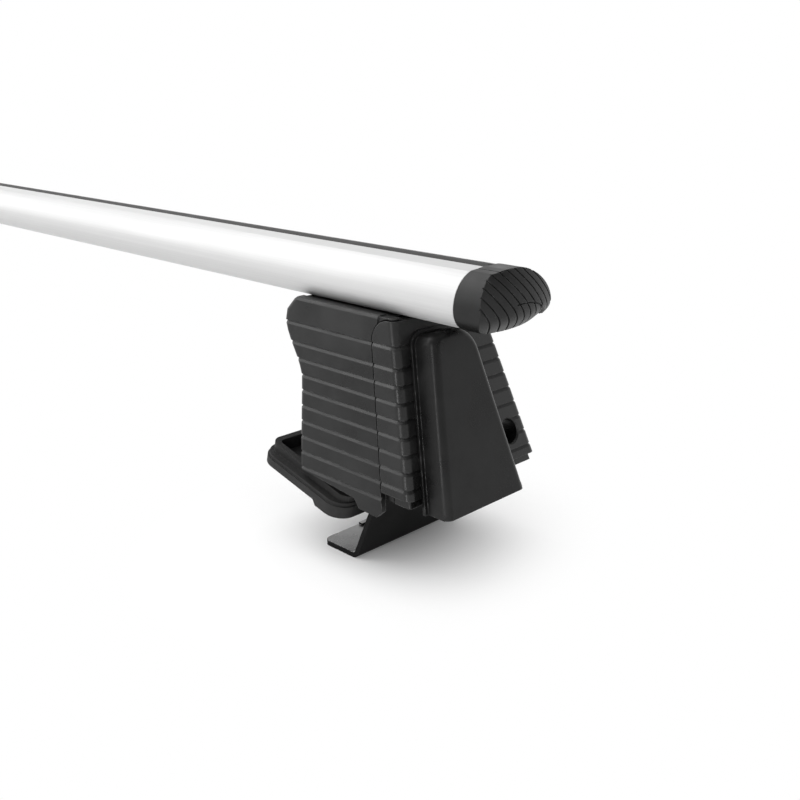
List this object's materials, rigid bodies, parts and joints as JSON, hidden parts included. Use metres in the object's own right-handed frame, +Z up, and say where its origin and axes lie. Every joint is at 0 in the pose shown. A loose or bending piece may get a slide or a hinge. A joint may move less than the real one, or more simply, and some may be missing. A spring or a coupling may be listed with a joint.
{
  "type": "roof rack crossbar",
  "caption": "Aluminium crossbar of wing section with a rubber strip and ribbed end caps, carried by clamp feet with roof pads, clamp hooks and pull-off lock covers.",
  "frame": {"origin": "on the floor under the middle of the bar, level with the underside of the hooks' lips", "axes": "+X along the bar to the end seen in the picture, +Y to the side away from the camera, +Z up"},
  "size_m": [1.1746, 0.1082, 0.1626],
  "materials": {
    "bar_aluminium": "satin anodised",
    "strip_rubber": "smooth matt",
    "cap_plastic": "fine grain",
    "body_plastic": "fine grain, ribbed",
    "frame_plastic": "fine grain, ribbed",
    "cover_plastic": "fine grain",
    "pad_rubber": "smooth",
    "hook_steel": "black powder coat",
    "bolt_steel": "zinc plated"
  },
  "bodies": {
    "bar": {"bar_profile": "bar_aluminium", "top_strip": "strip_rubber", "end_cap_right": "cap_plastic", "end_cap_left": "cap_plastic"},
    "foot_right": {"foot_body_right": "body_plastic", "outer_frame_right": "frame_plastic", "roof_pad_right": "pad_rubber", "clamp_nut_right": "bolt_steel", "tee_bolts_right": "bolt_steel", "tee_washers_right": "bolt_steel", "tee_nuts_right": "bolt_steel", "frame_screws_right": "bolt_steel"},
    "hook_right": {"clamp_hook_right": "hook_steel", "clamp_washer_right": "bolt_steel"},
    "bolt_right": {"clamp_bolt_right": "bolt_steel"},
    "cover_right": {"lock_cover_right": "cover_plastic"},
    "foot_left": {"foot_body_left": "body_plastic", "outer_frame_left": "frame_plastic", "roof_pad_left": "pad_rubber", "clamp_nut_left": "bolt_steel", "tee_bolts_left": "bolt_steel", "tee_washers_left": "bolt_steel", "tee_nuts_left": "bolt_steel", "frame_screws_left": "bolt_steel"},
    "hook_left": {"clamp_hook_left": "hook_steel", "clamp_washer_left": "bolt_steel"},
    "bolt_left": {"clamp_bolt_left": "bolt_steel"},
    "cover_left": {"lock_cover_left": "cover_plastic"}
  },
  "joints": [
    {"name": "foot_slide_right", "type": "slide", "parent": "bar", "child": "foot_right", "axis": [-1, 0, 0], "range_m": [0, 0.12]},
    {"name": "hook_slide_right", "type": "slide", "parent": "foot_right", "child": "hook_right", "axis": [0.9205, 0, -0.3907], "range_m": [-0.0015, 0.01]},
    {"name": "bolt_turn_right", "type": "hinge", "parent": "hook_right", "child": "bolt_right", "pos_m": [0.53282, 0, 0.0595], "axis": [0.9205, 0, -0.3907], "range_deg": [-435, 2885]},
    {"name": "cover_slide_right", "type": "slide", "parent": "foot_right", "child": "cover_right", "axis": [1, 0, 0], "range_m": [0, 0.06]},
    {"name": "foot_slide_left", "type": "slide", "parent": "bar", "child": "foot_left", "axis": [1, 0, 0], "range_m": [0, 0.12]},
    {"name": "hook_slide_left", "type": "slide", "parent": "foot_left", "child": "hook_left", "axis": [-0.9205, 0, -0.3907], "range_m": [-0.0015, 0.01]},
    {"name": "bolt_turn_left", "type": "hinge", "parent": "hook_left", "child": "bolt_left", "pos_m": [-0.53282, 0, 0.0595], "axis": [-0.9205, 0, -0.3907], "range_deg": [-435, 2885]},
    {"name": "cover_slide_left", "type": "slide", "parent": "foot_left", "child": "cover_left", "axis": [-1, 0, 0], "range_m": [0, 0.06]}
  ],
  "couplings": [
    {"joint": "bolt_turn_right", "follows": "hook_slide_right", "rad_per_m": 5026.5},
    {"joint": "bolt_turn_left", "follows": "hook_slide_left", "rad_per_m": 5026.5}
  ]
}
